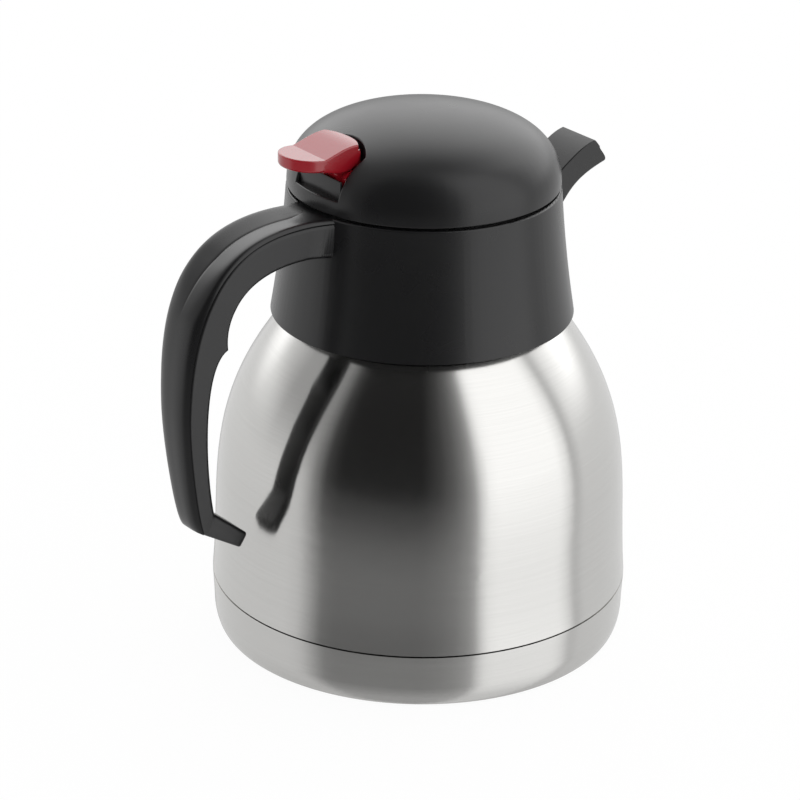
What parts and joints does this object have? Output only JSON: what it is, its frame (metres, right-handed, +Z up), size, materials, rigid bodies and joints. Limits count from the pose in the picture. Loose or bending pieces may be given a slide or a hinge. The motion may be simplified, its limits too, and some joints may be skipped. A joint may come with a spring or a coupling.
{
  "type": "insulated carafe",
  "caption": "Double-wall steel carafe with a black collar, beak spout and hooked handle; a screw-in domed stopper lid has a thumb lever that lifts a pour valve.",
  "frame": {"origin": "on the body's axis in the plane it stands on", "axes": "+Z up, +X towards the spout, -X towards the handle"},
  "size_m": [0.1813, 0.15, 0.1932],
  "materials": {
    "brushed_steel": "circumferentially brushed stainless steel",
    "plain_steel": "plain drawn stainless steel",
    "spring_steel": "bright spring steel",
    "screw_steel": "bright stainless fastener",
    "black_plastic": "black satin moulded polypropylene",
    "red_plastic": "red gloss moulded plastic",
    "seal_silicone": "pale food-grade silicone"
  },
  "bodies": {
    "carafe": {"base_cup": "brushed_steel", "outer_shell": "brushed_steel", "outer_bottom": "plain_steel", "inner_flask": "plain_steel", "getter_cup": "plain_steel", "collar": "black_plastic", "neck_gasket": "seal_silicone", "lock_ring": "spring_steel", "handle": "black_plastic", "handle_back": "black_plastic", "handle_screws": "screw_steel"},
    "ring_carrier": {"stopper_ring": "seal_silicone"},
    "lid": {"lid_dome": "black_plastic", "lid_deck": "black_plastic", "stopper_body": "black_plastic", "collar_ring": "seal_silicone", "stem_wiper": "seal_silicone", "lid_screws": "screw_steel", "lever_pin": "screw_steel"},
    "lever": {"lever": "red_plastic"},
    "valve": {"valve_disc": "black_plastic", "valve_seal": "seal_silicone", "valve_stem": "black_plastic", "stem_cap": "black_plastic", "valve_spring": "spring_steel"}
  },
  "joints": [
    {"name": "lid_lift", "type": "slide", "parent": "carafe", "child": "ring_carrier", "axis": [0, 0, 1], "range_m": [0, 0.06]},
    {"name": "lid_turn", "type": "hinge", "parent": "ring_carrier", "child": "lid", "pos_m": [0, 0, 0.168], "axis": [0, 0, 1], "range_deg": [0, 600]},
    {"name": "lever_press", "type": "hinge", "parent": "lid", "child": "lever", "pos_m": [-0.037, 0, 0.178], "axis": [0, -1, 0], "range_deg": [0, 12]},
    {"name": "valve_lift", "type": "slide", "parent": "lid", "child": "valve", "axis": [0, 0, 1], "range_m": [0, 0.00774], "stiffness_N_per_m": 400, "springref_m": -0.008, "deforming": ["valve_spring"]}
  ],
  "couplings": [
    {"joint": "lid_turn", "follows": "lid_lift", "rad_per_m": 174.53},
    {"joint": "lever_press", "follows": "valve_lift", "rad_per_m": 27.027}
  ]
}
